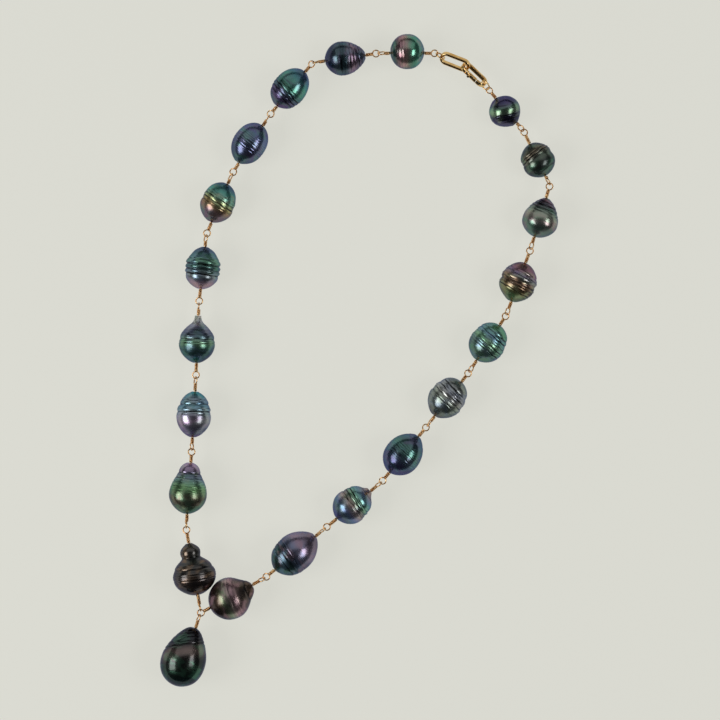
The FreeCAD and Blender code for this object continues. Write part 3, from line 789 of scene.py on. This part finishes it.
@dataclass
class DrawnWire:
    """Round wire drawn along a path, by a tree with inputs for its radius, sides and finish."""

    tree: NodeTree | None = None
    sockets: dict[str, str] = field(default_factory=dict)

    def plan(self) -> None:
        """Builds the tree once."""
        tree = bpy.data.node_groups.new("drawn_wire", "GeometryNodeTree")
        face = tree.interface
        face.new_socket("Path", in_out="INPUT", socket_type="NodeSocketGeometry")
        for name, kind in (("Wire Radius", "NodeSocketFloat"), ("Profile Sides", "NodeSocketInt"),
                           ("Finish", "NodeSocketMaterial")):
            self.sockets[name] = face.new_socket(name, in_out="INPUT", socket_type=kind).identifier
        face.new_socket("Wire", in_out="OUTPUT", socket_type="NodeSocketGeometry")
        given = add_node(tree, "NodeGroupInput").outputs
        path = add_node(tree, "GeometryNodeMeshToCurve", inputs={"Mesh": given["Path"]})
        section = add_node(tree, "GeometryNodeCurvePrimitiveCircle", inputs={
            "Resolution": given["Profile Sides"], "Radius": given["Wire Radius"]})
        drawn = add_node(tree, "GeometryNodeCurveToMesh", inputs={
            "Curve": path.outputs["Curve"], "Profile Curve": section.outputs["Curve"], "Fill Caps": True})
        smooth = add_node(tree, "GeometryNodeSetShadeSmooth", inputs={"Geometry": drawn.outputs["Mesh"]})
        real = add_node(tree, "GeometryNodeRealizeInstances", inputs={
            "Geometry": smooth.outputs["Geometry"]})
        dressed = add_node(tree, "GeometryNodeSetMaterial", inputs={
            "Geometry": real.outputs["Geometry"], "Material": given["Finish"]})
        add_node(tree, "NodeGroupOutput", inputs={"Wire": dressed.outputs["Geometry"]})
        self.tree = tree

    def draw(self, name: str, points: np.ndarray, radius: float, sides: int,
             finish: Material) -> Object:
        """Draws one wire.

        Args:
            name: The piece's name.
            points: The wire's middle line, rows in metres.
            radius: The wire's radius in mm.
            sides: Faces round the wire.
            finish: Its material.

        Returns:
            The wire as a plain mesh object.
        """
        if self.tree is None:
            self.plan()
        line = bpy.data.meshes.new(name + "_line")
        line.from_pydata(points.tolist(), [(i, i + 1) for i in range(len(points) - 1)], [])
        piece = new_piece(name, line)
        modifier = piece.modifiers.new("drawn_wire", "NODES")
        modifier.node_group = self.tree
        modifier[self.sockets["Wire Radius"]] = radius * MM
        modifier[self.sockets["Profile Sides"]] = sides
        modifier[self.sockets["Finish"]] = finish
        graph = bpy.context.evaluated_depsgraph_get()
        made = bpy.data.meshes.new_from_object(piece.evaluated_get(graph))
        piece.modifiers.remove(modifier)
        piece.data = made
        made.name = name
        bpy.data.meshes.remove(line)
        return piece


@dataclass
class WireWork:
    """The wrapped wire of each link, in one run: coil, eye, core through the pearl, eye and coil."""

    drawer: DrawnWire
    finish: Material
    radius: float = 0.20  # of the wire, mm
    eye: float = 1.05  # radius of an eye's middle line, mm
    coil: float = 0.385  # radius of the coil's middle line, mm
    pitch: float = 1.03  # spacing of the coil's turns, in wire thicknesses
    least_turns: float = 1.6
    sides: int = 10  # faces round the wire
    coil_steps: int = 22  # points in a turn of the coil
    eye_steps: int = 46  # points in an eye
    eye_opening: float = 16.0  # where the eye starts, in degrees from the neck
    lift: tuple[float, float] = (262.0, 356.0)  # where it climbs on to the coil, in degrees
    neck_gap: float = 0.04  # from the eye to the coil's first turn, mm
    mouth_gap: float = 0.02  # from the coil's last turn to the pearl, mm
    tuck: float = 0.4  # how far an end of the core is drawn inside the mouth, mm
    hole: float = 5.0  # how deep the drop's peg goes, mm
    # how the core leaves its line for the eye: (past the neck, aside), mm
    bend: tuple[tuple[float, float], ...] = ((0.75, 0), (0.45, 0.02), (0.22, 0.09), (0.07, 0.19))

    def tie(self, inner: float, reach: float, roll: float, dice: random.Random) -> np.ndarray:
        """One end of a wire, from the core inside the pearl to the cut tail of its coil.

        Args:
            inner: Distance from the hinge point to the pearl's end, in mm.
            reach: Distance from the hinge point to the eye's middle, in mm.
            roll: Turn of the eye about the link's axis, in degrees.
            dice: Sets the small unevenness of handwork.

        Returns:
            Rows of points in mm, with X away from the hinge point.
        """
        neck = reach + self.eye
        turn = np.radians(np.linspace(self.eye_opening, 360, self.eye_steps))
        x = reach + self.eye * np.cos(turn)
        w = self.eye * np.sin(turn)
        n = self.coil * smoothstep(np.degrees(turn), *self.lift)
        w[-1] = 0.0
        loop = np.stack([x, w, n], axis=-1)
        first, last = neck + self.neck_gap, inner - self.radius - self.mouth_gap
        turns = max(self.least_turns, (last - first) / (2 * self.radius * self.pitch))
        steps = int(turns * self.coil_steps)
        t = np.linspace(0, 1, steps + 1)[1:]
        angle = 2 * math.pi * turns * t
        wobble = 0.014 * np.sin(angle * 0.37 + dice.uniform(0, 6)) + 0.008 * np.sin(angle * 1.7)
        spread = self.coil + wobble
        uneven = t + 0.012 * np.sin(2 * math.pi * t + dice.uniform(0, 6))
        advance = first - self.neck_gap + (last - first + self.neck_gap) * uneven
        coil = np.stack([advance, spread * np.sin(angle), spread * np.cos(angle)], axis=-1)
        bend = [(neck + past, aside, 0) for past, aside in self.bend]
        lead_in = np.array([(inner + self.tuck, 0, 0)] + bend)
        points = np.vstack([lead_in, loop, coil])
        c, s = math.cos(math.radians(roll)), math.sin(math.radians(roll))
        y, z = points[:, 1] * c - points[:, 2] * s, points[:, 1] * s + points[:, 2] * c
        return np.stack([points[:, 0], y, z], axis=-1)

    def build(self, link: Link, node: Object, seed: int) -> Object:
        """Makes the wire of one link.

        Args:
            link: Where the link lies.
            node: The link's CAD pearl, which says where the pearl's ends are.
            seed: Sets the unevenness of the wrap.

        Returns:
            The dressed wire, riding on its link.
        """
        frame = link.frame()
        x = moved(frame.inverted(), node_points(node))[:, 0] / MM
        low, high, span = x.min(), x.max(), link.span()
        start_roll, end_roll = EYE_ROLLS[link.name]
        dice = random.Random(seed * 7 + 3)
        first = self.tie(low, EyeStance.of(start_roll).value, start_roll, dice)[::-1]
        if end_roll is None:
            last = np.array([(low + self.hole * 0.6, 0, 0), (low + self.hole, 0, 0)])
        else:
            last = self.tie(span - high, EyeStance.of(end_roll).value, end_roll, dice)
            last = np.stack([span - last[:, 0], last[:, 1], last[:, 2]], axis=-1)
        points = moved(frame, np.vstack([first, last]) * MM)
        piece = self.drawer.draw(link.wire_node + "_wrapped", points, self.radius, self.sides, self.finish)
        return settle(piece, link.body, link.wire_node)


@dataclass
class JumpRings:
    """The two plain rings, each with the fine cut where it was closed."""

    drawer: DrawnWire
    finish: Material
    wire: float = 0.225  # radius of the wire, mm
    cut: float = 0.08  # width of the cut, mm
    step_out: float = 0.03  # how far each cut end stands out sideways, mm
    sides: int = 16  # faces round the wire
    steps: int = 96  # points round the ring

    def build(self, node: Object, body: str, opening: float) -> Object:
        """Makes one ring.

        Args:
            node: The CAD ring, which says where the ring lies.
            body: The body it rides on.
            opening: Where on the ring the cut is, in degrees.

        Returns:
            The dressed ring.
        """
        points = node_points(node)
        middle = (points.min(0) + points.max(0)) / 2
        axes = np.linalg.svd(points - points.mean(0), full_matrices=False)[2]
        across = (points - middle) @ axes[:2].T
        reach = np.hypot(*across.T)
        radius = (reach.min() + reach.max()) / 2
        gap = self.cut * MM / radius
        turn = np.linspace(gap / 2, 2 * math.pi - gap / 2, self.steps) + math.radians(opening)
        lift = np.linspace(-self.step_out, self.step_out, self.steps)[:, None] * MM
        line = middle + radius * (np.cos(turn)[:, None] * axes[0] + np.sin(turn)[:, None] * axes[1])
        line += lift * axes[2]
        piece = self.drawer.draw(node.name + "_closed", line, self.wire, self.sides, self.finish)
        return settle(piece, body, node.name)


@dataclass
class ClaspWork:
    """The two long links of the clasp, the gate and what holds the gate."""

    nodes: dict[str, Object]
    crease: float = 32.0  # edges that fold more than this stay sharp, degrees
    weld: float = 0.0004  # points nearer than this are joined, mm
    # how much slimmer a piece is than its solid, so that the gate clears its link at its stop, mm
    polish: float = 0.01

    def build(self, node_name: str, body: str, finish: Material, slot: str) -> Object:
        """Makes one clasp piece from its CAD solid, with welded faces and soft shading.

        Args:
            node_name: The CAD node.
            body: The body it rides on.
            finish: Its material.
            slot: The record's material slot; not used.

        Returns:
            The dressed piece.
        """
        mesh = self.nodes[node_name].data.copy()
        mesh.name = node_name + "_polished"
        mesh.materials.clear()
        if mesh.has_custom_normals:
            mesh.normals_split_custom_set([(0, 0, 0)] * len(mesh.loops))
        shape = bmesh.new()
        shape.from_mesh(mesh)
        bmesh.ops.remove_doubles(shape, verts=shape.verts, dist=self.weld * MM)
        shape.normal_update()
        for vertex in shape.verts:
            vertex.co -= vertex.normal * (self.polish * MM)
        for face in shape.faces:
            face.smooth = True
            face.material_index = 0
        for edge in shape.edges:
            edge.smooth = edge.calc_face_angle(0) < math.radians(self.crease)
        shape.to_mesh(mesh)
        shape.free()
        mesh.materials.append(finish)
        return settle(new_piece(node_name + "_polished", mesh), body, node_name)


@dataclass(frozen=True)
class SoftBox:
    """A rectangular soft light: middle and size in metres, and its face's brightness against white paper."""

    name: str
    place: tuple[float, float, float]
    size: tuple[float, float]
    radiance: float


@dataclass
class Studio:
    """Plain pale floor, soft boxes to the left and right, a dim panel behind, and the camera overhead."""

    floor_size: float = 8.0  # metres
    floor_height: float = -0.0001  # just under the pearls' swellings, metres
    floor_colour: str = "#dadad1"
    floor_glow: float = 0.87  # share of the floor's brightness that shadows can't darken
    board_colour: str = "#6a6a66"
    camera_height: float = 0.638  # metres
    camera_aside: float = 0.0002  # metres
    lens: float = 100.0  # mm
    sensor: float = 36.0  # mm
    horizon: str = "#3a3b3e"
    zenith: str = "#1a1b1e"
    boxes: tuple[SoftBox, ...] = (
        SoftBox("soft_box_left", (-0.70, -0.15, 0.56), (0.46, 0.62), 5.0),
        SoftBox("soft_box_right", (0.60, -0.11, 0.64), (0.32, 0.52), 4.4),
        SoftBox("back_panel", (0.0, 0.68, 0.66), (1.7, 0.95), 0.5),
    )

    def floor(self) -> None:
        """A matt, faintly lit board."""
        mesh = bpy.data.meshes.new("floor")
        half = self.floor_size / 2
        corners = ((-half, -half), (half, -half), (half, half), (-half, half))
        mesh.from_pydata([(x, y, self.floor_height) for x, y in corners], [], [(0, 1, 2, 3)])
        board, tree = new_material("pale_board_matt")
        shader = add_node(tree, "ShaderNodeBsdfPrincipled", inputs={
            "Base Color": linear(self.board_colour), "Roughness": 0.9, "Specular IOR Level": 0.0,
            "Emission Color": linear(self.floor_colour), "Emission Strength": self.floor_glow})
        add_node(tree, "ShaderNodeOutputMaterial", inputs={"Surface": shader.outputs["BSDF"]})
        mesh.materials.append(board)
        new_piece("floor", mesh)

    def light(self, box: SoftBox) -> None:
        """Hangs one soft box so that it faces the middle of the floor.

        Args:
            box: The light to hang.
        """
        lamp = bpy.data.lights.new(box.name, "AREA")
        lamp.shape = "RECTANGLE"
        lamp.size, lamp.size_y = box.size
        lamp.energy = math.pi * box.radiance * box.size[0] * box.size[1]
        holder = bpy.data.objects.new(box.name, lamp)
        back = Vector(box.place).normalized()
        side = Vector((0, 1, 0)).cross(back)
        if side.length < 0.4:       # the light hangs nearly along Y, so X serves as its side
            side = Vector((1, 0, 0))
        side.normalize()
        up = back.cross(side)
        turn = Matrix((side, up, back)).transposed().to_4x4()
        holder.matrix_world = Matrix.Translation(box.place) @ turn
        holder.visible_camera = False
        bpy.context.scene.collection.objects.link(holder)

    def sky(self) -> None:
        """Room light: dim near the floor, darker overhead."""
        world = bpy.data.worlds.new("studio_room")
        world.use_nodes = True
        tree = world.node_tree
        tree.nodes.clear()
        way = add_node(tree, "ShaderNodeTexCoord").outputs["Generated"]
        height = add_node(tree, "ShaderNodeSeparateXYZ", inputs={"Vector": way}).outputs["Z"]
        tone = add_node(tree, "ShaderNodeValToRGB", inputs={"Fac": height}, stops=[
            (0.0, self.horizon), (0.3, self.zenith), (1.0, self.zenith)]).outputs["Color"]
        glow = add_node(tree, "ShaderNodeBackground", inputs={"Color": tone, "Strength": 1.0})
        add_node(tree, "ShaderNodeOutputWorld", inputs={"Surface": glow.outputs["Background"]})
        bpy.context.scene.world = world

    def camera(self) -> None:
        """A long lens straight above the strand."""
        data = bpy.data.cameras.new("overhead")
        data.lens, data.sensor_width = self.lens, self.sensor
        data.clip_start, data.clip_end = 0.01, 50.0
        holder = bpy.data.objects.new("overhead", data)
        holder.location = (self.camera_aside, 0.0, self.camera_height)
        bpy.context.scene.collection.objects.link(holder)
        bpy.context.scene.camera = holder

    def build(self) -> None:
        """Sets the whole studio up."""
        self.floor()
        for box in self.boxes:
            self.light(box)
        self.sky()
        self.camera()
        bpy.context.scene.view_settings.view_transform = "Standard"


def build_strand(frame: dict, wire_finish: Material, drawer: DrawnWire) -> None:
    """Builds every pearl and its wire.

    Args:
        wire_finish: The wire's material.
        drawer: What draws the wire.
    """
    pearls, wires = PearlWork(), WireWork(drawer, wire_finish)
    for seed, link in enumerate(Strand(frame["joints"]).links(), start=1):
        node = frame["nodes"][link.pearl_node]
        pearl = pearls.build(link, node, seed)
        wire = wires.build(link, node, seed)
        LOG.info("%s: %d and %d faces", link.name, len(pearl.data.polygons), len(wire.data.polygons))


def build_clasp(frame: dict, drawer: DrawnWire) -> None:
    """Builds the jump rings and the clasp.

    Args:
        drawer: What draws the rings' wire.
    """
    gold, steel = GOLD_CLASP.material(), SPRING_STEEL.material()
    nodes = frame["nodes"]
    rings = JumpRings(drawer, gold)
    rings.build(nodes["jump_ring_receiver"], "jump_ring_receiver", 70)
    rings.build(nodes["jump_ring_gate"], "jump_ring_gate", 200)
    clasp = ClaspWork(nodes)
    for name, body, finish, slot in (
            ("clasp_receiver_link", "receiver_link", gold, "gold_clasp"),
            ("clasp_gate_link", "gate_link", gold, "gold_clasp"),
            ("clasp_gate", "gate", gold, "gold_clasp"),
            ("gate_pin", "gate_link", gold, "gold_clasp"),
            ("gate_spring", "gate_link", steel, "spring_steel")):
        piece = clasp.build(name, body, finish, slot)
        LOG.info("%s: %d faces", piece.name, len(piece.data.polygons))


def main() -> None:
    """Builds the necklace round its frame and sets up the studio."""
    logging.basicConfig(level=logging.INFO)
    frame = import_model()
    drawer = DrawnWire()
    build_strand(frame, GOLD_WIRE.material(), drawer)
    build_clasp(frame, drawer)
    Studio().build()


if __name__ == "__main__":
    main()
